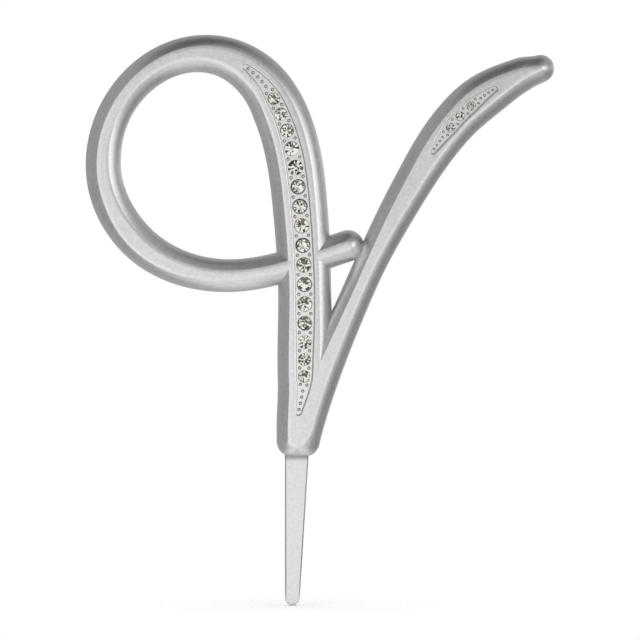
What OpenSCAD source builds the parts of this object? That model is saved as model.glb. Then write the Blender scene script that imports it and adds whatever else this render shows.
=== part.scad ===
// Script capital letter on a flat pick, with two rows of faceted stones set in its face.
// It stands up: the face looks along -Y, +Z is up, and the back lies on the plane Y = 0.
// The origin is the middle of the pick where it leaves the letter's foot.

/* [Letter] */
// Overall height of the letter, from its foot to the top of the bow
letter_h = 87.3; // [75:0.1:110]
// Overall width of the letter, from the bow to the tip of the arm
letter_w = 97.1; // [85:0.1:120]
// Thickness of the letter, from its back to its face
letter_t = 5; // [4.2:0.1:8]
// Width of the bevel along every edge of the face
bevel_w = 2.3; // [1.2:0.1:2.4]
// Height of the bevel below the face
bevel_h = 3.2; // [1.5:0.1:3.8]
// How far the bevel swells out of a straight slope
bevel_swell = 0.35; // [0.1:0.05:0.5]

/* [Strokes] */
// Width of the hairlines: the tail, the foot's corners and the lower arm
hair_w = 6.5; // [5.8:0.1:7.5]
// Width of the bow where it is lightest
loop_w = 6.8; // [5.8:0.1:8]
// Width of the bow where it is fullest
bow_w = 7.7; // [6:0.1:9]
// Width of the shoulder, where the bow turns down into the stem
shoulder_w = 10.7; // [9.5:0.1:12]
// Width of the upper stem
stem_w = 11.4; // [10:0.1:13]
// Width of the lower stem
stem_low_w = 11; // [10:0.1:12.5]
// Width of the stem where it ends in the foot
stem_end_w = 7.6; // [6.5:0.1:8]
// Width of the arm at its heel, in the foot
heel_w = 8.2; // [7.5:0.1:9]
// Width of the arm where it is fullest
arm_w = 9.3; // [8:0.1:11]
// Width of the arm's tip
tip_w = 4.9; // [4.8:0.1:6.5]

/* [Stones] */
// Number of stones down the stem
stem_stones = 16; // [10:1:17]
// Diameter of the stones in the middle of the stem
stem_stone_d = 3.1; // [2.6:0.1:3.5]
// Diameter of the first and last stone of the stem
stem_end_stone_d = 2.5; // [2:0.1:3]
// Number of stones at each end of the stem that grow to the full diameter
graded_stones = 4; // [1:1:5]
// Number of stones in the arm
arm_stones = 3; // [2:1:4]
// Diameter of the arm's stones
arm_stone_d = 1.9; // [1.5:0.1:2.4]
// Gap between the arm's stones
arm_stone_gap = 1.2; // [0.9:0.1:1.5]
// Height of a stone's crown above its girdle
crown_h = 0.35; // [0.2:0.05:0.5]
// Height of the upright band at a stone's girdle
girdle_h = 0.12; // [0.05:0.01:0.2]
// Slope of a stone's pavilion below its girdle, in degrees
pavilion_slope = 40; // [32:1:44]
// Share of a stone's diameter that its flat table takes
table_share = 0.55; // [0.4:0.05:0.65]

/* [Settings] */
// Depth of a setting's surface below the letter's face
recess = 0.5; // [0.3:0.05:0.8]
// Metal left beside a stone, up to the edge of its setting
setting_rim = 0.4; // [0.3:0.05:0.6]
// Metal left under the deepest stone of a setting
setting_floor = 0.3; // [0.2:0.05:0.5]
// Length of the stem setting's upper point, from the first stone's middle
stem_upper_point = 9; // [7:0.1:11]
// Length of the stem setting's lower point, from the last stone's middle
stem_lower_point = 7.5; // [6:0.1:9]
// Length of the arm setting's two points, from the end stones' middles
arm_point = 6; // [4.5:0.1:7]
// Radius of a setting's pointed ends
point_r = 0.55; // [0.4:0.05:0.7]
// Diameter of the beads in the stem setting
stem_bead_d = 0.8; // [0.6:0.05:1]
// Distance between the beads in the stem setting's points
stem_bead_pitch = 1.3; // [1.1:0.05:1.6]
// Diameter of the beads in the arm setting
arm_bead_d = 0.6; // [0.4:0.05:0.8]
// Distance between the beads in the arm setting's points
arm_bead_pitch = 1; // [0.9:0.05:1.3]
// Metal between a paired bead and the edge of its setting
bead_edge = 0.3; // [0.2:0.05:0.4]

/* [Pick] */
// Length of the pick below the letter
pick_l = 30.8; // [20:0.1:60]
// Width of the pick at the foot
pick_w = 4.9; // [4:0.1:5.4]
// Width of the pick at its tip
pick_tip_w = 3.1; // [2:0.1:3.8]
// Thickness of the pick
pick_t = 1.8; // [1.2:0.1:2.5]
// Length of the tang that is let into the back of the foot
tang_l = 5.5; // [3:0.1:6]

/* [Fits] */
// Glue gap round a piece that is let into another
glue_gap = 0.05; // [0.02:0.01:0.1]

/* [Hidden] */
// Sides of the strokes' rounded section and of a cut stone, and of every other round
section_sides = 24;
stone_facets = 8;
$fn = 48;
// Most that a stroke turns in one step, in degrees, and fewest steps between two knots
turn_step = 9;
least_steps = 3;
// Steps up the bevel
bevel_steps = 3;
// Steps along a setting's outline and round its pointed ends
outline_steps = 60;
point_steps = 8;
// Least width of face that a bevel leaves, and how far a cut runs past a face
least_face = 0.1;
past = 1;

function mid(a, b) = (a + b) / 2;

// Knots of the two pen strokes, on a grid of 1000 by 1000 between the outermost centre lines:
// across, up, heading in degrees and the stroke's width
grid = 1000;
// Place of the pick across the grid
pick_grid = 440;
// Tail and round the bow
bow_knots = [
    [557, 504, 200, hair_w],
    [283, 427, 180, loop_w],
    [69, 526, 129, bow_w],
    [0, 716, 90, mid(loop_w, bow_w)],
    [53, 897, 56, loop_w],
    [224, 1000, 0, bow_w]
];
// Down the stem, from its first stone to its last
stem_knots = [
    [388, 882, -65, shoulder_w],
    [423, 782, -76, stem_w],
    [445, 638, -85, stem_w],
    [458, 400, -89, stem_low_w],
    [457, 167, -91, stem_low_w]
];
// End of the stem, in the foot
stem_end = [436, 12, -92, stem_end_w];
long_stroke = [each bow_knots, each stem_knots, stem_end];
// Heel and up the arm
heel_knots = [
    [452, 22, 76, heel_w],
    [583, 396, 69, hair_w],
    [704, 664, 63, mid(hair_w, arm_w)]
];
// From the arm's middle stone to its tip
tip_knots = [
    [811, 837, 50, arm_w],
    [869, 893, 38, arm_w],
    [953, 944, 27, mid(arm_w, tip_w)],
    [1000, 965, 24, tip_w]
];
arm_stroke = [each heel_knots, each tip_knots];
// Rounded corners of the foot, at its foot line
foot_corners = [[430, 0], [457, 0]];

// Grid places in millimetres
span_x = letter_w - mid(loop_w, bow_w) / 2 - tip_w / 2;
span_y = letter_h - hair_w / 2 - bow_w / 2;
function on_letter(g) = [(g.x - pick_grid) / grid * span_x, hair_w / 2 + g.y / grid * span_y];

// A stroke's curve: an arc-like Bezier between each two knots, with the width eased along it
function toward(angle) = [cos(angle), sin(angle)];
function handle(a, b) = norm([b.x - a.x, b.y - a.y]) / (3 * pow(cos((b[2] - a[2]) / 4), 2));
function bezier(p, q, r, s, t) =
    pow(1 - t, 3) * p + 3 * pow(1 - t, 2) * t * q + 3 * (1 - t) * pow(t, 2) * r + pow(t, 3) * s;
function eased(w, t) =
    w[1] + t / 2 * (w[2] - w[0]
    + t * (2 * w[0] - 5 * w[1] + 4 * w[2] - w[3]
    + t * (3 * w[1] - w[0] - 3 * w[2] + w[3])));
function station(knots, i, t) =
    let (a = knots[i], b = knots[i + 1], reach = handle(a, b), last = len(knots) - 1)
    let (p = [a.x, a.y], s = [b.x, b.y])
    let (g = bezier(p, p + reach * toward(a[2]), s - reach * toward(b[2]), s, t))
    let (w = [for (j = [i - 1 : i + 2]) knots[max(0, min(last, j))][3]])
    [each on_letter(g), eased(w, t) / 2];
function steps(knots, i) = max(least_steps, ceil(abs(knots[i + 1][2] - knots[i][2]) / turn_step));
function stations(knots) = [
    for (i = [0 : len(knots) - 2], k = [0 : steps(knots, i) - 1]) station(knots, i, k / steps(knots, i)),
    station(knots, len(knots) - 2, 1)
];
function knot_station(knots, i) = i == 0 ? 0 : knot_station(knots, i - 1) + steps(knots, i - 1);
long_stations = stations(long_stroke);
arm_stations = stations(arm_stroke);
foot_stations = [
    for (c = foot_corners) [each on_letter(c), hair_w / 2],
    long_stations[len(long_stations) - 1],
    arm_stations[0]
];

// Places by distance along a stroke's centre line
function hop(points, i) =
    let (a = points[i], b = points[min(i + 1, len(points) - 1)]) norm([b.x - a.x, b.y - a.y]);
function distances(points) = [for (i = 0, s = 0; i < len(points); s = s + hop(points, i), i = i + 1) s];
function route(points) =
    let (s = distances(points), last = len(points) - 1)
    [[for (i = [0 : last]) [s[i], points[i].x]], [for (i = [0 : last]) [s[i], points[i].y]]];
function along(path, s) = [lookup(s, path[0]), lookup(s, path[1])];
function heading(path, s) =
    let (step = along(path, s + past) - along(path, s - past)) step / norm(step);
function leftward(path, s) = let (h = heading(path, s)) [-h.y, h.x];

// A row of stones: its path, the distances of its first and last stone along it, the number of
// stones, their full and end diameters, the lengths of its two points, its beads and their pitch
PATH = 0;
FIRST = 1;
LAST = 2;
COUNT = 3;
FULL_D = 4;
END_D = 5;
POINTS = 6;
BEAD_D = 7;
BEAD_PITCH = 8;
long_marks = distances(long_stations);
arm_middle = distances(arm_stations)[knot_station(arm_stroke, len(heel_knots))];
arm_half_row = (arm_stones - 1) / 2 * (arm_stone_d + arm_stone_gap);
stem_row = [
    route(long_stations),
    long_marks[knot_station(long_stroke, len(bow_knots))],
    long_marks[knot_station(long_stroke, len(bow_knots) + len(stem_knots) - 1)],
    stem_stones, stem_stone_d, stem_end_stone_d,
    [stem_upper_point, stem_lower_point], stem_bead_d, stem_bead_pitch
];
arm_row = [
    route(arm_stations),
    arm_middle - arm_half_row,
    arm_middle + arm_half_row,
    arm_stones, arm_stone_d, arm_stone_d,
    [arm_point, arm_point], arm_bead_d, arm_bead_pitch
];

// Stones grow from the ends of a row, with even gaps between them
function smooth(t) = let (c = min(1, max(0, t))) c * c * (3 - 2 * c);
function stone_d(row, i) =
    let (from_end = max(0, min(i, row[COUNT] - 1 - i)))
    row[END_D] + (row[FULL_D] - row[END_D]) * smooth(from_end / graded_stones);
function packed(row, i) =
    i == 0 ? 0 : packed(row, i - 1) + mid(stone_d(row, i - 1), stone_d(row, i));
function stone_gap(row) =
    (row[LAST] - row[FIRST] - packed(row, row[COUNT] - 1)) / (row[COUNT] - 1);
function stone_at(row, i) = row[FIRST] + packed(row, i) + i * stone_gap(row);
function pavilion_h(d) = d / 2 * tan(pavilion_slope);
function setting_t(row) = pavilion_h(row[FULL_D]) + setting_floor;

// A setting's outline: as wide as its stones and rims, and tapered past its end stones
function half_width(row, s) =
    let (i = (s - row[FIRST]) / (row[LAST] - row[FIRST]) * (row[COUNT] - 1))
    let (out = max((row[FIRST] - s) / row[POINTS][0], (s - row[LAST]) / row[POINTS][1], 0))
    (1 - out) * (stone_d(row, i) / 2 + setting_rim) + out * point_r;
function edge(row, s, side, extra) =
    along(row[PATH], s) + side * (half_width(row, s) + extra) * leftward(row[PATH], s);
function point_arc(row, s, turn, extra) =
    let (h = heading(row[PATH], s), a = atan2(h.y, h.x) + turn)
    [for (k = [1 : point_steps - 1])
        along(row[PATH], s) + (point_r + extra) * toward(a - 180 * k / point_steps)];
function outline(row, extra) =
    let (from = row[FIRST] - row[POINTS][0], to = row[LAST] + row[POINTS][1])
    let (marks = [for (k = [0 : outline_steps]) from + (to - from) * k / outline_steps])
    concat(
        [for (s = marks) edge(row, s, 1, extra)],
        point_arc(row, to, 90, extra),
        [for (k = [outline_steps : -1 : 0]) edge(row, marks[k], -1, extra)],
        point_arc(row, from, -90, extra)
    );

// Heights above the back, towards the viewer
function setting_top() = letter_t - recess;

function stone_name(row, i) = str(row, "_stone_", i < 9 ? "0" : "", i + 1);

// Every piece is drawn lying on its back, then stood up
module stand() {
    rotate([90, 0, 0]) children();
}

// Half of a stroke's section: an upright wall, the swelling bevel and the flat face
function section(r) =
    let (w = min(bevel_w, r - least_face), slope = [-w, bevel_h], out = [bevel_h, w] / norm(slope))
    concat(
        [[0, 0], [r, 0]],
        [for (k = [0 : bevel_steps]) let (t = k / bevel_steps)
            [r, letter_t - bevel_h] + t * slope + 4 * bevel_swell * t * (1 - t) * out],
        [[0, letter_t]]
    );

module pen(s) {
    translate([s[0], s[1]]) rotate_extrude($fn = section_sides) polygon(section(s[2]));
}

module stroke(stops) {
    for (i = [0 : len(stops) - 2]) hull() {
        pen(stops[i]);
        pen(stops[i + 1]);
    }
}

module foot() {
    hull() for (s = foot_stations) pen(s);
}

// Recess in the face that a setting is glued into
module channel(row) {
    floor_z = setting_top() - setting_t(row) - glue_gap;
    translate([0, 0, floor_z]) linear_extrude(letter_t + past - floor_z) polygon(outline(row, glue_gap));
}

// Recess in the back of the foot that the pick's tang is glued into
module tang_pocket() {
    w = pick_w + 2 * glue_gap;
    translate([-w / 2, -past, -past]) cube([w, past + tang_l + glue_gap, past + pick_t + glue_gap]);
}

module letter_frame() {
    color("silver") stand() difference() {
        union() {
            stroke(long_stations);
            stroke(arm_stations);
            foot();
        }
        channel(stem_row);
        channel(arm_row);
        tang_pocket();
    }
}

// A blade with one upright edge, the other drawn in to a round tip, and a tang above
module pick() {
    tip_r = pick_tip_w / 2;
    tip_x = tip_r - pick_w / 2;
    color("gainsboro") stand() linear_extrude(pick_t) {
        translate([-pick_w / 2, 0]) square([pick_w, tang_l]);
        polygon([
            [-pick_w / 2, 0],
            [-pick_w / 2, tip_r - pick_l],
            [-pick_w / 2 + pick_tip_w, tip_r - pick_l],
            [pick_w / 2, 0]
        ]);
        intersection() {
            translate([tip_x, tip_r - pick_l]) circle(tip_r);
            translate([-pick_w / 2, -pick_l]) square([pick_tip_w, tip_r]);
        }
    }
}

module bead(row, s, side, top) {
    aside = side * (half_width(row, s) - row[BEAD_D] / 2 - bead_edge);
    p = along(row[PATH], s) + aside * leftward(row[PATH], s);
    translate([p.x, p.y, top]) sphere(d = row[BEAD_D]);
}

module bead_pair(row, s, top) {
    bead(row, s, -1, top);
    bead(row, s, 1, top);
}

// Beads in pairs on both sides of every stone, then in single file out to both points
module beads(row, top) {
    aside = mid(row[END_D], stone_gap(row));
    start = aside + row[BEAD_PITCH];
    bead_pair(row, row[FIRST] - aside, top);
    for (i = [0 : row[COUNT] - 2]) bead_pair(row, mid(stone_at(row, i), stone_at(row, i + 1)), top);
    bead_pair(row, row[LAST] + aside, top);
    for (s = [start : row[BEAD_PITCH] : row[POINTS][0] - row[BEAD_D] / 2]) bead(row, row[FIRST] - s, 0, top);
    for (s = [start : row[BEAD_PITCH] : row[POINTS][1] - row[BEAD_D] / 2]) bead(row, row[LAST] + s, 0, top);
}

// Conical seat that a stone's pavilion drops into
module seat(row, i, top) {
    p = along(row[PATH], stone_at(row, i));
    r = stone_d(row, i) / 2 + glue_gap;
    depth = pavilion_h(2 * r);
    translate([p.x, p.y, top - depth]) cylinder(h = depth, r1 = 0, r2 = r);
}

module setting(row) {
    top = setting_top();
    t = setting_t(row);
    union() {
        difference() {
            translate([0, 0, top - t]) linear_extrude(t) polygon(outline(row, 0));
            for (i = [0 : row[COUNT] - 1]) seat(row, i, top);
        }
        beads(row, top);
    }
}

module stem_setting() {
    color("lightgray") stand() setting(stem_row);
}

module arm_setting() {
    color("lightgray") stand() setting(arm_row);
}

// A round cut stone: pointed pavilion, upright girdle, crown and flat table
module stone(row, i) {
    d = stone_d(row, i);
    p = along(row[PATH], stone_at(row, i));
    deep = pavilion_h(d);
    color("white") stand() translate([p.x, p.y, setting_top()]) {
        translate([0, 0, -deep]) cylinder(h = deep, d1 = 0, d2 = d, $fn = stone_facets);
        cylinder(h = girdle_h, d = d, $fn = stone_facets);
        translate([0, 0, girdle_h]) cylinder(h = crown_h, d1 = d, d2 = d * table_share, $fn = stone_facets);
    }
}

letter_frame();
pick();
stem_setting();
arm_setting();
for (i = [0 : stem_stones - 1])
    stone(stem_row, i);
for (i = [0 : arm_stones - 1])
    stone(arm_row, i);
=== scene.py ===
import math
import random

import bmesh
import bpy
from mathutils import Matrix, Vector


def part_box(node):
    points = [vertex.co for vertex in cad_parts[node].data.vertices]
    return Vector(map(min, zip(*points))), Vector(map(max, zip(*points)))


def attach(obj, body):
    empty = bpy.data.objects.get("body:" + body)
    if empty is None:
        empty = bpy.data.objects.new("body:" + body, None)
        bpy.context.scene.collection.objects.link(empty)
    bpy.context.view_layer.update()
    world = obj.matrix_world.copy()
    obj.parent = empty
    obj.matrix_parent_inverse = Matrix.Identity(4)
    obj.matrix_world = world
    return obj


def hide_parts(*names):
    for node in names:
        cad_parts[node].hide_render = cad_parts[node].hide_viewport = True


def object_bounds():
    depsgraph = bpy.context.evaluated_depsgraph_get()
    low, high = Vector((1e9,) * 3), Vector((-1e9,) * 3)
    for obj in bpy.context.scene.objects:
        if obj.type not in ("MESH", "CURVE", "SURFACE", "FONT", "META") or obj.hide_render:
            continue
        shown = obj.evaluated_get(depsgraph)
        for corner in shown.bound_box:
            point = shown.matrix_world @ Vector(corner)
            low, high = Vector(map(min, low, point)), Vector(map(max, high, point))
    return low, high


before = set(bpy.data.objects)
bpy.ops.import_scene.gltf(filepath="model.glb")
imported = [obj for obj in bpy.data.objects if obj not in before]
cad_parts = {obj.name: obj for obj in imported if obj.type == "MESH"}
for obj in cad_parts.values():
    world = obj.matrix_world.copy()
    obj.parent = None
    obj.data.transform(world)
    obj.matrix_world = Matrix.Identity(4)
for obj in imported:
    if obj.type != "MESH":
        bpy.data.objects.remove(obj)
cad_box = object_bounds()

# Lengths are in millimetres in the letter's own plane: across, up, and depth from its flat back
MM = 0.001
UM = 1e-6
# How far a cutting tool reaches past what it cuts
PAST = 1


def toward(angle):
    """A unit step in the letter's plane."""
    return Vector((math.cos(angle), math.sin(angle)))


def mid(a, b):
    return (a + b) / 2


def node_box(node):
    """A CAD node's lowest and highest corner, in millimetres."""
    low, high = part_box(node)
    return low / MM, high / MM


def box_spot(low, high):
    """The middle of a box, in the letter's plane."""
    return Vector((mid(low.x, high.x), mid(low.z, high.z)))


# The letter's overall sizes come from the frame
letter_low, letter_high = node_box("letter_frame")
LETTER_W = letter_high.x - letter_low.x
LETTER_H = letter_high.z
LETTER_T = -letter_low.y

# Widths of the pen strokes
HAIR_W = 6.5
LOOP_W = 6.8
BOW_W = 7.7
SHOULDER_W = 10.7
STEM_W = 11.4
STEM_LOW_W = 11
STEM_END_W = 7.6
HEEL_W = 8.2
ARM_W = 9.3
# The letter's span is measured with the first of these, and the arm's tip is drawn with the second
TIP_W = 4.9
TIP_END_W = 5.7

# Knots of the strokes on a grid of 1000 by 1000: across, up, heading in degrees and width
GRID = 1000
PICK_GRID = 440
LONG_STROKE = [
    (557, 504, 200, HAIR_W),
    (283, 427, 180, LOOP_W),
    (69, 526, 129, BOW_W),
    (0, 716, 90, mid(LOOP_W, BOW_W)),
    (53, 897, 56, LOOP_W),
    (224, 1000, 0, BOW_W),
    (388, 882, -65, SHOULDER_W),
    (423, 782, -76, STEM_W),
    (445, 638, -85, STEM_W),
    (458, 400, -89, STEM_LOW_W),
    (457, 167, -91, STEM_LOW_W),
    (436, 12, -92, STEM_END_W),
]
ARM_STROKE = [
    (452, 22, 76, HEEL_W),
    (583, 396, 69, HAIR_W),
    (704, 664, 63, mid(HAIR_W, ARM_W)),
    (811, 837, 50, ARM_W),
    (869, 893, 38, ARM_W),
    (952, 946, 27, mid(ARM_W, TIP_W)),
    (994, 961, 24, TIP_END_W),
]
SPAN_X = LETTER_W - mid(LOOP_W, BOW_W) / 2 - TIP_W / 2
SPAN_Z = LETTER_H - HAIR_W / 2 - BOW_W / 2
STATION_STEP = 0.7
# How far to either side a stroke's direction is taken from
WAY_STEP = 1
# Station of the long stroke at which its mesh is cut in two, since it crosses itself further on
BOW_CUT = 120

# The foot has two corners at its outline and one round end at its face
FOOT_CORNERS = [(430, 0), (457, 0)]
FOOT_FACE = (441, 7)
FOOT_FACE_W = 3.8
FOOT_SIDES = 120

# The section of every stroke: rounded back edge, upright wall, swelling bevel, eased lip, crowned face
BEVEL_W = 2.36
BEVEL_H = 3.2
BEVEL_SWELL = 0.29
BEVEL_STEPS = 9
EDGE_EASE = 0.1
CROWN_W = 0.45
CROWN_DROP = 0.1
CROWN_EASE = 0.34
LEAST_FACE = 0.05
BACK_EASE = 0.25
EASE_STEPS = 7
ARC_POINTS = 24

# The bow's bevel is narrower along its outside at the lower left: the way it faces there, how many
# degrees to either side it narrows, and by what share
BOW_MIDDLE = (224, 716)
NARROW_WAY = 238
NARROW_REACH = 36
NARROWING = 0.16

# Settings: each lies against one side of its channel, and runs out to a point past both end stones
RECESS = 0.5
SETTING_TOP = LETTER_T - RECESS
SETTING_RIM = 0.4
SETTING_FLOOR = 0.3
SETTING_EASE = 0.08
GLUE_GAP = 0.03
TIGHT_GAP = 0.01
CHANNEL_EASE_W = 0.14
CHANNEL_EASE_H = 0.08
STEM_SLACK = 0.06
ARM_SLACK = 0.11
SLACK_WAY = Vector((0.8, -0.6))
STEM_POINTS = (9, 7.5)
ARM_POINTS = (6, 6)
POINT_R = 0.55
SEAT_FLARE = 0.1
SEAT_SIDES = 32

# Beads: slim pegs with round heads, each in its own pit
STEM_BEAD_D = 0.8
STEM_BEAD_PITCH = 1.3
ARM_BEAD_D = 0.6
ARM_BEAD_PITCH = 1
BEAD_EDGE = 0.3
BEAD_SHARE = 0.5
BEAD_STEPS = 5
BEAD_ROOT = 0.2
BEAD_SIDES = 20
PIT_SHARE = 0.9
PIT_DEEP = 0.6

# Stones: tilts and slopes are in degrees
STEM_STONES = 16
ARM_STONES = 3
GRADED_STONES = 4
TABLE_SHARE = 0.55
GIRDLE_H = 0.12
STEM_FACETS = 8
ARM_FACETS = 6
STONE_TILT = 3
PAVILION_SLOPES = (38, 41)
STONE_LUCK = 7

# Pick, with painted shade on its blade where it enters the foot
PICK_TIP_W = 3.1
PICK_CORNER = 0.3
PICK_CHAMFER_W = 0.3
PICK_CHAMFER_H = 0.36
PICK_EASE = 0.08
PICK_SIDES = 128
PAINTED_ROOT_SHADE_H = 1.1

# Smooth shading: edges sharper than this many degrees stay, and wide faces outweigh narrow ones
CREASE = 28
FACE_WEIGHT = 80

# Silvers: light and dark colour, roughness, and depth of the grain in micrometres
SILVERS = {
    "letter_silver": ((0.80, 0.805, 0.80), (0.61, 0.615, 0.61), 0.33, 16),
    "pick_silver": ((0.80, 0.80, 0.80), (0.63, 0.63, 0.63), 0.3, 12),
    "setting_silver": ((0.86, 0.845, 0.835), (0.70, 0.685, 0.675), 0.3, 12),
}
# Colour of the painted shade on the pick's blade where it enters the foot
PAINTED_ROOT_SHADE = (0.36, 0.36, 0.365)
# Sizes of the cloudiness and the grain, and how far they change tone and roughness
NOISE_MEAN = 0.5
CLOUD_DETAIL = 2
FINE_DETAIL = 3
CLOUD_SIZE = 9
CLOUD_TONE = 0.3
CLOUD_ROUGH = 0.10
GRAIN_SIZE = 0.6
GRAIN_TONE = 1.4
GRAIN_ROUGH = 0.08
TONE_DROP = 0.35

# Glass of the stones and the foil behind them: worn and clear colours, size of the wear, roughness
GLASS_COLOURS = (0.98, 0.975, 0.955), (1, 0.995, 0.98)
GLASS_WEAR = 0.4
GLASS_ROUGH = 0.01
GLASS_IOR = 1.52
# The arm's foil is a darker copy of the stem's: painted shade on the arm's stones
FOILS = {
    "stem_foil": ((0.90, 0.89, 0.865), (0.97, 0.965, 0.945)),
    "arm_foil": ((0.80, 0.795, 0.785), (0.87, 0.865, 0.855)),
}
FOIL_WEAR = 0.5
FOIL_ROUGH = 0.02

# The stage: a light tent, a card that the stones sparkle with, and a floor that fades out
STAGE_MIDDLE = Vector((5, 35))
DISC_SIDES = 96
WHITE = (1, 1, 1)
FLOOR_R = 40
FLOOR_FADE = (0.2, 1.0)
SPARKLE_FAR = 350
SPARKLE_SPREAD = 1.6
SPARKLE_PATCHES = 8.0
SPARKLE_CROWDING = 0.5
SPARKLE_EDGES = (0.36, 0.42)
SPARKLE_OLIVES = (0.01, 0.01, 0.008), (0.2, 0.185, 0.135)
TENT_R = 400
TENT_SEGMENTS = 64
TENT_RINGS = 32
TENT_GREY = 0.35
# Areas of the tent, later ones over earlier ones: turn round the line of sight, angle off it, inner and
# outer radius, all in degrees, and level
TENT_AREAS = {
    "back wall": (90, 180, 60, 75, 0.5),
    "back lamp": (90, 170, 0, 35, 1.0),
    "right rear card": (345, 125, 30, 35, 1.0),
    "left wall": (150, 110, 10, 60, 0.4),
    "right wall": (335, 95, 0, 65, 0.25),
    "dark roof": (90, 80, 0, 45, 0.05),
    "pale table": (270, 60, 10, 55, 0.95),
    "low right card": (330, 65, 5, 20, 0.9),
    "front": (165, 15, 0, 50, 1.15),
    "low left lamp": (220, 55, 15, 25, 1.3),
    "upper shade": (70, 45, 25, 50, 0.5),
    "right lamp": (10, 60, 10, 40, 1.6),
    "low front card": (320, 30, 0, 20, 1.15),
}

# Camera: the width and middle of its frame at the letter's outline, and its distance from there
FRAME_W = 132.45
FRAME_MIDDLE = Vector((4.82, 28.3))
CAMERA_FAR = 1200
SENSOR_W = 36


def on_letter(across, up):
    """A place on the grid, in millimetres in the letter's plane."""
    return Vector(((across - PICK_GRID) / GRID * SPAN_X, HAIR_W / 2 + up / GRID * SPAN_Z))


def eased(widths, t):
    """A width between the middle two of four knots."""
    a, b, c, d = widths
    return b + t / 2 * (c - a + t * (2 * a - 5 * b + 4 * c - d + t * (3 * b - a - 3 * c + d)))


def station(knots, i, t):
    """A point of a stroke's centre line and the half width there, between knots i and i + 1."""
    (x0, z0, turn0, _), (x1, z1, turn1, _) = knots[i], knots[i + 1]
    start = Vector((x0, z0))
    end = Vector((x1, z1))
    reach = (end - start).length / (3 * math.cos(math.radians(turn1 - turn0) / 4) ** 2)
    out = start + reach * toward(math.radians(turn0))
    back = end - reach * toward(math.radians(turn1))
    u = 1 - t
    spot = u**3 * start + 3 * u**2 * t * out + 3 * u * t**2 * back + t**3 * end
    widths = [knots[min(max(j, 0), len(knots) - 1)][-1] for j in range(i - 1, i + 3)]
    return on_letter(*spot), eased(widths, t) / 2


def stroke_stations(knots):
    stations = []
    for i in range(len(knots) - 1):
        chord = (on_letter(*knots[i + 1][:2]) - on_letter(*knots[i][:2])).length
        steps = math.ceil(chord / STATION_STEP)
        stations += [station(knots, i, k / steps) for k in range(steps)]
    return stations + [station(knots, len(knots) - 2, 1)]


def stroke_rim(stations, first=0, last=None):
    """A closed rim round a stroke of varying width: centre, radius and way out of each point.
    The stroke's own ends are round, and an end between two stations is cut square."""
    final = len(stations) - 1
    last = final if last is None else last
    quarter = math.pi / 2
    lefts = []
    rights = []
    arcs = {}
    for i in range(first, last + 1):
        (a, ra), (b, rb) = stations[max(i - 1, 0)], stations[min(i + 1, final)]
        way = b - a
        angle = math.atan2(way.y, way.x)
        lean = math.asin((ra - rb) / way.length)
        lefts.append((*stations[i], toward(angle + quarter - lean)))
        rights.append((*stations[i], toward(angle - quarter + lean)))
        if i in (0, final):
            about, span = (math.pi, math.pi + 2 * lean) if i == 0 else (0, math.pi - 2 * lean)
            steps = [(k + 1) / (ARC_POINTS + 1) - 0.5 for k in range(ARC_POINTS)]
            arcs[i] = [(*stations[i], toward(angle + about - span * t)) for t in steps]
    start = arcs.get(first, [])
    half = len(start) // 2
    return start[half:] + lefts + arcs.get(last, []) + rights[::-1] + start[:half]


def hull_rim(discs, sides):
    """A closed rim round several discs, drawn tight."""
    rim = []
    for k in range(sides):
        way = toward(math.tau * (k + 0.5) / sides - math.pi / 2)
        centre, radius = max(discs, key=lambda disc: disc[0].dot(way) + disc[1])
        rim.append((centre, radius, way))
    return rim


def stood(spot, depth):
    """A place in the letter's plane, at a depth in front of its back, in the shared frame."""
    return Vector((spot.x, -depth, spot.y)) * MM


def hung(name, build):
    """The finished mesh as an object of the scene."""
    bmesh.ops.recalc_face_normals(build, faces=build.faces)
    mesh = bpy.data.meshes.new(name)
    build.to_mesh(mesh)
    build.free()
    made = bpy.data.objects.new(name, mesh)
    bpy.context.scene.collection.objects.link(made)
    return made


def loft(name, outlines):
    """A closed solid through outlines that have the same number of points."""
    build = bmesh.new()
    rings = [[build.verts.new(point) for point in outline] for outline in outlines]
    count = len(rings[0])
    for low, high in zip(rings, rings[1:]):
        for i in range(count):
            j = (i + 1) % count
            build.faces.new((low[i], low[j], high[j], high[i]))
    for ring in (rings[0], rings[-1]):
        for i in range(count // 2 - 1):
            build.faces.new((ring[i], ring[i + 1], ring[count - 2 - i], ring[count - 1 - i]))
    return hung(name, build)


def stack(name, rim, section):
    """A closed solid of outlines round a rim, one for each inset and depth of the section."""
    return loft(name, [
        [stood(c + max(r - inset, LEAST_FACE) * way, depth) for c, r, way in rim]
        for inset, depth in section
    ])


def carve(body, tool, operation):
    """The body joined with the tool or cut by it. The tool is used up."""
    step = body.modifiers.new("carve", "BOOLEAN")
    step.operation = operation
    step.object = tool
    step.solver = "MANIFOLD"
    seen = body.evaluated_get(bpy.context.evaluated_depsgraph_get())
    carved = bpy.data.meshes.new_from_object(seen)
    carved.materials.clear()
    body.modifiers.clear()
    body.data = carved
    bpy.data.objects.remove(tool)


def smooth_shading(piece):
    """Smooth shading, with creases kept and wide flat faces left flat."""
    piece.data.shade_smooth()
    piece.data.set_sharp_from_angle(angle=math.radians(CREASE))
    weighted = piece.modifiers.new("flat_faces", "WEIGHTED_NORMAL")
    weighted.keep_sharp = True
    weighted.weight = FACE_WEIGHT


def placed(piece, node, slot, *finishes):
    for finish in finishes:
        piece.data.materials.append(finish)
    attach(piece, "root")
    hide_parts(node)
    return piece


def corner(before, at, after, ease):
    """Points that ease the corner at one place between its two neighbours."""
    first = at + ease * (before - at).normalized()
    last = at + ease * (after - at).normalized()
    shares = [k / EASE_STEPS for k in range(EASE_STEPS + 1)]
    return [(1 - t) ** 2 * first + 2 * t * (1 - t) * at + t**2 * last for t in shares]


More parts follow.
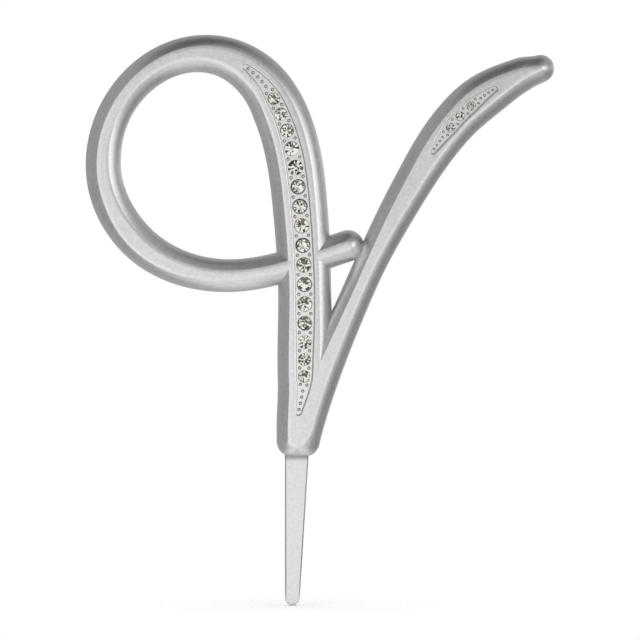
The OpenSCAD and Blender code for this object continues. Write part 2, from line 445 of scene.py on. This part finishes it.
def stroke_section():
    """Inset and depth round half a stroke, from its flat back to its crowned face."""
    wall = Vector((0, LETTER_T - BEVEL_H))
    lip = Vector((BEVEL_W, LETTER_T - CROWN_DROP))
    crest = Vector((BEVEL_W + CROWN_W, LETTER_T))
    slope = lip - wall
    out = Vector((-slope.y, slope.x)).normalized()
    bevel = []
    for k in range(BEVEL_STEPS):
        t = k / BEVEL_STEPS
        bevel.append(wall + t * slope + 4 * BEVEL_SWELL * t * (1 - t) * out)
    back = corner(Vector((BACK_EASE, 0)), Vector((0, 0)), wall, BACK_EASE)
    edge = corner(bevel[-1], lip, crest, EDGE_EASE)
    crown = corner(lip, crest, crest + Vector((1, 0)), CROWN_EASE)
    return back + bevel + edge + crown


class Row:
    """A row of stones: where each sits along its stroke, and the setting round them."""

    def __init__(self, name, stations, count, facets, points, bead_d, bead_pitch, slack):
        self.name = name
        self.stations = stations
        self.marks = [0]
        for (a, _), (b, _) in zip(stations, stations[1:]):
            self.marks.append(self.marks[-1] + (b - a).length)
        self.nodes = [f"{name}_stone_{i + 1:02d}" for i in range(count)]
        self.facets = facets
        self.points = points
        self.bead_d = bead_d
        self.bead_pitch = bead_pitch
        self.slack = slack
        boxes = [node_box(node) for node in self.nodes]
        self.spots = [box_spot(low, high) for low, high in boxes]
        self.diameters = [high.x - low.x for low, high in boxes]
        self.places = [self.nearest(spot) for spot in self.spots]
        self.deepest = max(high.y for low, high in boxes)

    def nearest(self, spot):
        """How far along the stroke a spot lies."""
        i = min(range(len(self.marks)), key=lambda k: (self.stations[k][0] - spot).length)
        a = self.stations[max(i - 1, 0)][0]
        b = self.stations[min(i + 1, len(self.stations) - 1)][0]
        return self.marks[i] + (spot - self.stations[i][0]).dot((b - a).normalized())

    def along(self, s):
        """The spot this far along the stroke."""
        i = max(k for k in range(len(self.marks) - 1) if self.marks[k] <= s)
        t = (s - self.marks[i]) / (self.marks[i + 1] - self.marks[i])
        return self.stations[i][0].lerp(self.stations[i + 1][0], t)

    def leftward(self, s):
        way = (self.along(s + WAY_STEP) - self.along(s - WAY_STEP)).normalized()
        return Vector((-way.y, way.x))

    def half_width(self, s):
        """Half the setting's width: graded with the stones, and drawn in towards both points."""
        first, last = self.places[0], self.places[-1]
        share = (s - first) / (last - first) * (len(self.places) - 1)
        from_end = min(1, max(0, min(share, len(self.places) - 1 - share)) / GRADED_STONES)
        grown = from_end**2 * (3 - 2 * from_end)
        stone_d = self.diameters[0] + (max(self.diameters) - self.diameters[0]) * grown
        out = max((first - s) / self.points[0], (s - last) / self.points[1], 0)
        return (1 - out) * (stone_d / 2 + SETTING_RIM) + out * POINT_R

    def rim(self):
        start = self.places[0] - self.points[0]
        end = self.places[-1] + self.points[1]
        steps = math.ceil((end - start) / STATION_STEP)
        marks = [start + (end - start) * k / steps for k in range(steps + 1)]
        return stroke_rim([(self.along(s), self.half_width(s)) for s in marks])

    def floor(self):
        return -self.deepest - SETTING_FLOOR

    def bead_spots(self):
        """Pairs between the stones and beside the end stones, then single file out to both points."""
        gap = (self.places[1] - self.places[0]) - mid(self.diameters[0], self.diameters[1])
        aside = self.diameters[0] / 2 + gap / 2
        pairs = [mid(a, b) for a, b in zip(self.places, self.places[1:])]
        pairs += [self.places[0] - aside, self.places[-1] + aside]
        spots = []
        for s in pairs:
            reach = self.half_width(s) - self.bead_d / 2 - BEAD_EDGE
            spots += [self.along(s) + side * reach * self.leftward(s) for side in (-1, 1)]
        for end, length, sign in ((0, self.points[0], -1), (-1, self.points[1], 1)):
            s = aside + self.bead_pitch
            while s < length - self.bead_d / 2:
                spots.append(self.along(self.places[end] + sign * s))
                s += self.bead_pitch
        return spots


long_stations = stroke_stations(LONG_STROKE)
arm_stations = stroke_stations(ARM_STROKE)
stem_row = Row(
    "stem", long_stations, STEM_STONES, STEM_FACETS,
    STEM_POINTS, STEM_BEAD_D, STEM_BEAD_PITCH, STEM_SLACK,
)
arm_row = Row(
    "arm", arm_stations, ARM_STONES, ARM_FACETS,
    ARM_POINTS, ARM_BEAD_D, ARM_BEAD_PITCH, ARM_SLACK,
)


class Field:
    """A shader value that takes part in ordinary arithmetic."""

    def __init__(self, nodes, socket):
        self.nodes = nodes
        self.socket = socket

    def sum(self, operation, first, second):
        return self.nodes.add("ShaderNodeMath", {"operation": operation}, {0: first, 1: second})

    def __add__(self, other):
        return self.sum("ADD", self, other)

    def __radd__(self, other):
        return self.sum("ADD", other, self)

    def __sub__(self, other):
        return self.sum("SUBTRACT", self, other)

    def __rsub__(self, other):
        return self.sum("SUBTRACT", other, self)

    def __mul__(self, other):
        return self.sum("MULTIPLY", self, other)

    def __rmul__(self, other):
        return self.sum("MULTIPLY", other, self)


class Nodes:
    """A node tree, and the one way its nodes are added and linked."""

    def __init__(self, tree):
        self.tree = tree
        tree.nodes.clear()

    def add(self, kind, settings=None, sockets=None, output=0):
        node = self.tree.nodes.new(kind)
        for name, value in (settings or {}).items():
            setattr(node, name, value)
        for name, value in (sockets or {}).items():
            if isinstance(value, Field):
                self.tree.links.new(value.socket, node.inputs[name])
            else:
                node.inputs[name].default_value = value
        return Field(self, node.outputs[output]) if node.outputs else node


def new_finish(name):
    finish = bpy.data.materials.new(name)
    finish.use_nodes = True
    return finish, Nodes(finish.node_tree)


def surface(nodes, kind, sockets):
    """The shader that a finish shows."""
    shader = nodes.add(kind, None, sockets)
    nodes.add("ShaderNodeOutputMaterial", None, {"Surface": shader})


def opaque(colour):
    return (*colour, 1)


def grey(level):
    return (level, level, level)


def blended(nodes, share, first, second):
    """A colour between two, by a share."""
    a, b = [end if isinstance(end, Field) else opaque(end) for end in (first, second)]
    return nodes.add("ShaderNodeMix", {"data_type": "RGBA"}, {0: share, 6: a, 7: b}, 2)


def own_place(nodes):
    """Where a point of the surface lies in its object's own frame."""
    return nodes.add("ShaderNodeTexCoord", output="Object")


def axis(nodes, vector, name):
    return nodes.add("ShaderNodeSeparateXYZ", None, {"Vector": vector}, name)


def measure(nodes, operation, *vectors):
    """A number that is worked out from vectors."""
    sockets = dict(enumerate(vectors))
    return nodes.add("ShaderNodeVectorMath", {"operation": operation}, sockets, "Value")


def smooth_step(nodes, value, low, high):
    """0 at one value and 1 at another, smooth between them and level past them."""
    sockets = {0: value, 1: low, 2: high}
    return nodes.add("ShaderNodeMapRange", {"interpolation_type": "SMOOTHSTEP"}, sockets)


def clouds(nodes, size_mm, detail):
    """Soft random variation over patches of about this size."""
    sockets = {"Vector": own_place(nodes), "Scale": 1 / (size_mm * MM), "Detail": detail}
    return nodes.add("ShaderNodeTexNoise", None, sockets)


def painted_root_shade(nodes):
    """Mask of painted shade: 1 on the front of the blade where it enters the foot, fading out down the
    blade.
    """
    sockets = {0: own_place(nodes), 1: (0, 1, 1)}
    section = nodes.add("ShaderNodeVectorMath", {"operation": "MULTIPLY"}, sockets)
    joint = Vector((0, node_box("pick")[0].y, 0)) * MM
    return smooth_step(nodes, measure(nodes, "DISTANCE", section, joint), PAINTED_ROOT_SHADE_H * MM, 0)


def satin_silver(name, shade=None):
    """Satin plated silver: fine grain, faint cloudiness in tone and gloss, and any painted shade."""
    light, dark, roughness, grain_um = SILVERS[name]
    finish, nodes = new_finish(name)
    patches = clouds(nodes, CLOUD_SIZE, CLOUD_DETAIL)
    grain = clouds(nodes, GRAIN_SIZE, FINE_DETAIL)
    tone = blended(nodes, patches * CLOUD_TONE + grain * GRAIN_TONE - TONE_DROP, dark, light)
    # Painted shade: the tone is pulled towards a dark grey by the mask
    if shade:
        tone = blended(nodes, shade(nodes), tone, PAINTED_ROOT_SHADE)
    relief = {"Strength": 1.0, "Distance": grain_um * UM, "Height": grain}
    gloss = roughness + CLOUD_ROUGH * (patches - NOISE_MEAN) + GRAIN_ROUGH * (grain - NOISE_MEAN)
    surface(nodes, "ShaderNodeBsdfPrincipled", {
        "Base Color": tone,
        "Metallic": 1.0,
        "Roughness": gloss,
        "Normal": nodes.add("ShaderNodeBump", None, relief),
    })
    return finish


def crystal(name):
    """Clear cut glass, a touch warm, with faint wear on its facets."""
    finish, nodes = new_finish(name)
    wear = clouds(nodes, GLASS_WEAR, FINE_DETAIL)
    surface(nodes, "ShaderNodeBsdfPrincipled", {
        "Base Color": blended(nodes, wear, *GLASS_COLOURS),
        "Roughness": GLASS_ROUGH * wear,
        "IOR": GLASS_IOR,
        "Transmission Weight": 1.0,
    })
    return finish


def foil(name):
    """Mirror foil behind a stone."""
    finish, nodes = new_finish(name)
    wear = clouds(nodes, FOIL_WEAR, FINE_DETAIL)
    surface(nodes, "ShaderNodeBsdfPrincipled", {
        "Base Color": blended(nodes, wear, *FOILS[name]),
        "Metallic": 1.0,
        "Roughness": FOIL_ROUGH * wear,
    })
    return finish


def bow_bevel(spot, way):
    """Share of the bevel's width at a place on the bow's outline that faces this way."""
    if (spot - on_letter(*BOW_MIDDLE)).dot(way) <= 0:
        return 1
    edge = math.cos(math.radians(NARROW_REACH))
    near = way.dot(toward(math.radians(NARROW_WAY)))
    return 1 - NARROWING * max(0, near - edge) / (1 - edge)


def tail(section):
    """The tail and the left half of the bow."""
    half_bow = stroke_rim(long_stations, last=BOW_CUT)
    rim = [(c, r, way, bow_bevel(c + r * way, way)) for c, r, way in half_bow]
    return loft("tail", [
        [stood(c + max(r - inset * share, LEAST_FACE) * way, depth) for c, r, way, share in rim]
        for inset, depth in section
    ])


def foot(section):
    """The foot that both strokes run into: broad at its outline, drawn in to a round end at the face."""
    face = on_letter(*FOOT_FACE)
    outlines = []
    for inset, depth in section:
        drawn_in = min(1, inset / BEVEL_W)
        past = max(0, inset - BEVEL_W)
        radius = (1 - drawn_in) * HAIR_W / 2 + drawn_in * FOOT_FACE_W / 2 - past
        discs = [(on_letter(*spot).lerp(face, drawn_in), radius) for spot in FOOT_CORNERS]
        discs += [(centre, r - inset) for centre, r in (long_stations[-1], arm_stations[0])]
        outlines.append([stood(c + r * way, depth) for c, r, way in hull_rim(discs, FOOT_SIDES)])
    return loft("foot", outlines)


def channel(row):
    """What is cut out of the letter's face for a setting, with its slack on one side."""
    gap = row.slack + TIGHT_GAP
    section = [
        (-gap, row.floor() - GLUE_GAP),
        (-gap, LETTER_T - CHANNEL_EASE_H),
        (-gap - CHANNEL_EASE_W, LETTER_T),
        (-gap - CHANNEL_EASE_W, LETTER_T + PAST),
    ]
    rim = [(centre + row.slack * SLACK_WAY, radius, way) for centre, radius, way in row.rim()]
    return stack("channel", rim, section)


def tang_pocket():
    """What is cut out of the back of the foot for the pick's tang."""
    low, high = node_box("pick")
    half = (high.x - low.x) / 2 + GLUE_GAP
    top = high.z + GLUE_GAP
    deep = -low.y + GLUE_GAP
    build = bmesh.new()
    bmesh.ops.create_cube(build, size=1)
    size = Vector((2 * half, deep + PAST, top + PAST))
    centre = Vector((0, mid(-deep, PAST), mid(-PAST, top)))
    for corner_vert in build.verts:
        corner_vert.co = (centre + Vector(a * b for a, b in zip(size, corner_vert.co))) * MM
    return hung("pocket", build)


def letter_frame(finish):
    section = stroke_section()
    letter = stack("letter", stroke_rim(long_stations, first=BOW_CUT), section)
    carve(letter, tail(section), "UNION")
    carve(letter, stack("arm", stroke_rim(arm_stations), section), "UNION")
    carve(letter, foot(section), "UNION")
    for row in (stem_row, arm_row):
        carve(letter, channel(row), "DIFFERENCE")
    carve(letter, tang_pocket(), "DIFFERENCE")
    smooth_shading(letter)
    return placed(letter, "letter_frame", "letter_silver", finish)


def pick(finish):
    """A flat blade with a tang, one upright edge and a round tip, chamfered round its face."""
    low, high = node_box("pick")
    tip_r = PICK_TIP_W / 2
    r = PICK_CORNER
    discs = [
        (Vector((low.x + r, high.z - r)), r),
        (Vector((high.x - r, high.z - r)), r),
        (Vector((high.x - r, 0)), r),
        (Vector((low.x + tip_r, low.z + tip_r)), tip_r),
    ]
    back = Vector((0, 0))
    wall = Vector((0, -low.y - PICK_CHAMFER_H))
    face = Vector((PICK_CHAMFER_W, -low.y))
    section = corner(Vector((1, 0)), back, wall, BACK_EASE)
    section += corner(back, wall, face, PICK_EASE)
    section += corner(wall, face, face + Vector((1, 0)), PICK_EASE)
    made = stack("pick_blade", hull_rim(discs, PICK_SIDES), section)
    smooth_shading(made)
    return placed(made, "pick", "pick_silver", finish)


def turned(build, spot, rings, sides):
    """A closed round solid: rings of radius and depth, where a radius of 0 is a point."""
    made = []
    for radius, depth in rings:
        if radius == 0:
            made.append([build.verts.new(stood(spot, depth))])
        else:
            ways = [toward(math.tau * k / sides) for k in range(sides)]
            made.append([build.verts.new(stood(spot + radius * way, depth)) for way in ways])
    for low, high in zip(made, made[1:]):
        for i in range(sides):
            j = (i + 1) % sides
            face = [low[i % len(low)], low[j % len(low)], high[j % len(high)], high[i % len(high)]]
            build.faces.new(list(dict.fromkeys(face)))
    if len(made[-1]) > 1:
        build.faces.new(made[-1])


def seat_rings(row, diameter):
    """A cone that the stone sits in. The largest stone's seat is as deep as the deepest stone."""
    r = diameter / 2 + GLUE_GAP
    deep = -row.deepest - SETTING_TOP
    depth = SETTING_TOP + deep * r / (max(row.diameters) / 2)
    return [(0, depth), (r, SETTING_TOP), (r + SEAT_FLARE, SETTING_TOP + PAST)]


def pit_rings(radius):
    return [(0, SETTING_TOP - PIT_DEEP), (radius, SETTING_TOP), (radius, SETTING_TOP + PAST)]


def bead_rings(rise, radius):
    """A peg with a round head that stands this far out of the strip."""
    turns = [math.pi / 2 * k / BEAD_STEPS for k in range(BEAD_STEPS)]
    base = SETTING_TOP - PIT_DEEP
    head = SETTING_TOP + rise - radius
    rings = [(radius * math.cos(a), head + radius * math.sin(a)) for a in turns]
    return [(0, base - BEAD_ROOT), (radius, base), *rings, (0, SETTING_TOP + rise)]


def setting(row, finish):
    """A strip with a conical seat for each stone and bead prongs."""
    section = [(0, row.floor()), (0, SETTING_TOP - SETTING_EASE), (SETTING_EASE, SETTING_TOP)]
    strip = stack(f"{row.name}_strip", row.rim(), section)
    seats = bmesh.new()
    for spot, diameter in zip(row.spots, row.diameters):
        turned(seats, spot, seat_rings(row, diameter), SEAT_SIDES)
    carve(strip, hung("seats", seats), "DIFFERENCE")
    pits = bmesh.new()
    beads = bmesh.new()
    r = row.bead_d / 2
    for spot in row.bead_spots():
        turned(pits, spot, pit_rings(r * PIT_SHARE), BEAD_SIDES)
        turned(beads, spot, bead_rings(r, r * BEAD_SHARE), BEAD_SIDES)
    carve(strip, hung("pits", pits), "DIFFERENCE")
    carve(strip, hung("beads", beads), "UNION")
    smooth_shading(strip)
    return placed(strip, f"{row.name}_setting", "setting_silver", finish)


def stone(node, facets, finish, backing, luck):
    """A round cut stone: clear crown and girdle, and a foiled pavilion of wedges."""
    low, high = node_box(node)
    spot = box_spot(low, high)
    r = (high.x - low.x) / 2
    belt = SETTING_TOP
    around = range(2 * facets)
    step = math.tau / len(around)
    spin = luck.uniform(0, 2 * step)
    slope = math.tan(math.radians(luck.uniform(*PAVILION_SLOPES)))
    tilt = [math.radians(luck.uniform(-STONE_TILT, STONE_TILT)) for _ in range(2)]
    lean = Matrix.Rotation(tilt[0], 3, "X") @ Matrix.Rotation(tilt[1], 3, "Z")
    top = -low.y - TABLE_SHARE * r * math.radians(STONE_TILT)
    pivot = stood(spot, belt)
    build = bmesh.new()

    def vert(radius, angle, depth):
        place = stood(spot + radius * toward(angle + spin), depth)
        return build.verts.new(pivot + lean @ (place - pivot))

    kite_rise = r * (1 - math.cos(step)) * slope
    upper = [vert(r, step * k, belt + GIRDLE_H) for k in around]
    lower = [vert(r, step * k, belt + (0 if k % 2 else kite_rise)) for k in around]
    table = [vert(r * TABLE_SHARE, 2 * step * k, top) for k in range(facets)]
    culet = vert(0, 0, belt - r * math.cos(step) * slope)
    build.faces.new(table)
    for k in range(facets):
        before, at, after = 2 * k - 1, 2 * k, (2 * k + 1) % len(around)
        build.faces.new((table[k], upper[before], upper[at]))
        build.faces.new((table[k], upper[at], upper[after]))
        build.faces.new((table[k], upper[after], table[(k + 1) % facets]))
        wedge = build.faces.new((culet, lower[before], lower[at], lower[after]))
        wedge.material_index = 1
    for k in around:
        build.faces.new((lower[k - 1], lower[k], upper[k], upper[k - 1]))
    return placed(hung(node.replace("stone", "crystal"), build), node, "stone", finish, backing)


def facing(round_deg, off_deg):
    """A direction from the letter: turned round the line of sight, and off it."""
    a, b = math.radians(round_deg), math.radians(off_deg)
    return Vector((math.cos(a) * math.sin(b), -math.cos(b), math.sin(a) * math.sin(b)))


def area(nodes, way, inner, outer):
    """A soft round area of a globe about a direction: 1 inside one angle off it, 0 past another."""
    toward_way = measure(nodes, "DOT_PRODUCT", own_place(nodes), way)
    return smooth_step(nodes, toward_way, math.cos(math.radians(outer)), math.cos(math.radians(inner)))


def tent_finish():
    """Light tent: grey, with soft round areas that are lighter or darker."""
    finish, nodes = new_finish("tent_light")
    colour = grey(TENT_GREY)
    for round_deg, off_deg, inner, outer, level in TENT_AREAS.values():
        share = area(nodes, facing(round_deg, off_deg), inner, outer)
        colour = blended(nodes, share, colour, grey(level))
    surface(nodes, "ShaderNodeEmission", {"Color": colour, "Strength": 1.0})
    return finish


def sparkle_finish():
    """What the stones mirror: white, with dark olive patches that crowd below."""
    finish, nodes = new_finish("sparkle_light")
    place = own_place(nodes)
    sockets = {"Vector": place, "Scale": SPARKLE_PATCHES}
    patches = nodes.add("ShaderNodeTexVoronoi", None, sockets, "Color")
    crowding = axis(nodes, patches, "X") - SPARKLE_CROWDING * axis(nodes, place, "Y")
    olive = blended(nodes, axis(nodes, patches, "Y"), *SPARKLE_OLIVES)
    colour = blended(nodes, smooth_step(nodes, crowding, *SPARKLE_EDGES), WHITE, olive)
    surface(nodes, "ShaderNodeEmission", {"Color": colour, "Strength": 1.0})
    return finish


def floor_finish():
    """Plain white floor that fades out into the white round it."""
    finish, nodes = new_finish("floor_white")
    fade = smooth_step(nodes, measure(nodes, "LENGTH", own_place(nodes)), *FLOOR_FADE)
    white = nodes.add("ShaderNodeBsdfDiffuse", None, {"Color": opaque(WHITE)})
    gone = nodes.add("ShaderNodeBsdfTransparent")
    surface(nodes, "ShaderNodeMixShader", {0: fade, 1: white, 2: gone})
    return finish


def stage_piece(name, build, finish, place, size):
    made = hung(name, build)
    made.data.materials.append(finish)
    made.location = place
    made.scale = Vector((1, 1, 1)) * size * MM
    return made


def flat_disc(radius):
    build = bmesh.new()
    bmesh.ops.create_circle(build, cap_ends=True, segments=DISC_SIDES, radius=radius)
    return build


def globe():
    build = bmesh.new()
    bmesh.ops.create_uvsphere(build, u_segments=TENT_SEGMENTS, v_segments=TENT_RINGS, radius=1)
    return build


def studio():
    """White air and floor, and what the metal and the stones mirror, unseen by the camera."""
    scene = bpy.context.scene
    scene.view_settings.view_transform = "Standard"
    world = bpy.data.worlds.new("studio")
    scene.world = world
    world.use_nodes = True
    nodes = Nodes(world.node_tree)
    air = nodes.add("ShaderNodeBackground", None, {"Color": opaque(WHITE), "Strength": 1.0})
    nodes.add("ShaderNodeOutputWorld", None, {"Surface": air})
    stage_piece("floor", flat_disc(1), floor_finish(), (0, 0, cad_box[0].z), FLOOR_R)
    tent = stage_piece("tent", globe(), tent_finish(), stood(STAGE_MIDDLE, 0), TENT_R)
    card_place = stood(STAGE_MIDDLE, SPARKLE_FAR)
    spread = flat_disc(SPARKLE_SPREAD)
    card = stage_piece("sparkle_card", spread, sparkle_finish(), card_place, SPARKLE_FAR)
    card.rotation_euler = (math.pi / 2, 0, 0)
    card.visible_glossy = False
    for piece in (tent, card):
        piece.visible_camera = False
        piece.visible_diffuse = False
        piece.visible_shadow = False


def viewpoint():
    """The photograph's view: square on, from far off."""
    outline_depth = LETTER_T - BEVEL_H
    made = bpy.data.cameras.new("camera")
    made.sensor_width = SENSOR_W
    made.lens = SENSOR_W * CAMERA_FAR / FRAME_W
    camera = bpy.data.objects.new("camera", made)
    bpy.context.scene.collection.objects.link(camera)
    camera.location = stood(FRAME_MIDDLE, outline_depth + CAMERA_FAR)
    camera.rotation_euler = (math.pi / 2, 0, 0)
    bpy.context.scene.camera = camera


viewpoint()
studio()
letter_frame(satin_silver("letter_silver"))
# The pick's silver has painted shade where the blade enters the foot
pick(satin_silver("pick_silver", painted_root_shade))
strip_silver = satin_silver("setting_silver")
clear = crystal("clear_crystal")
stem_foil = foil("stem_foil")
arm_foil = foil("arm_foil")
luck = random.Random(STONE_LUCK)
for row, backing in ((stem_row, stem_foil), (arm_row, arm_foil)):
    setting(row, strip_silver)
    for node in row.nodes:
        stone(node, row.facets, clear, backing, luck)
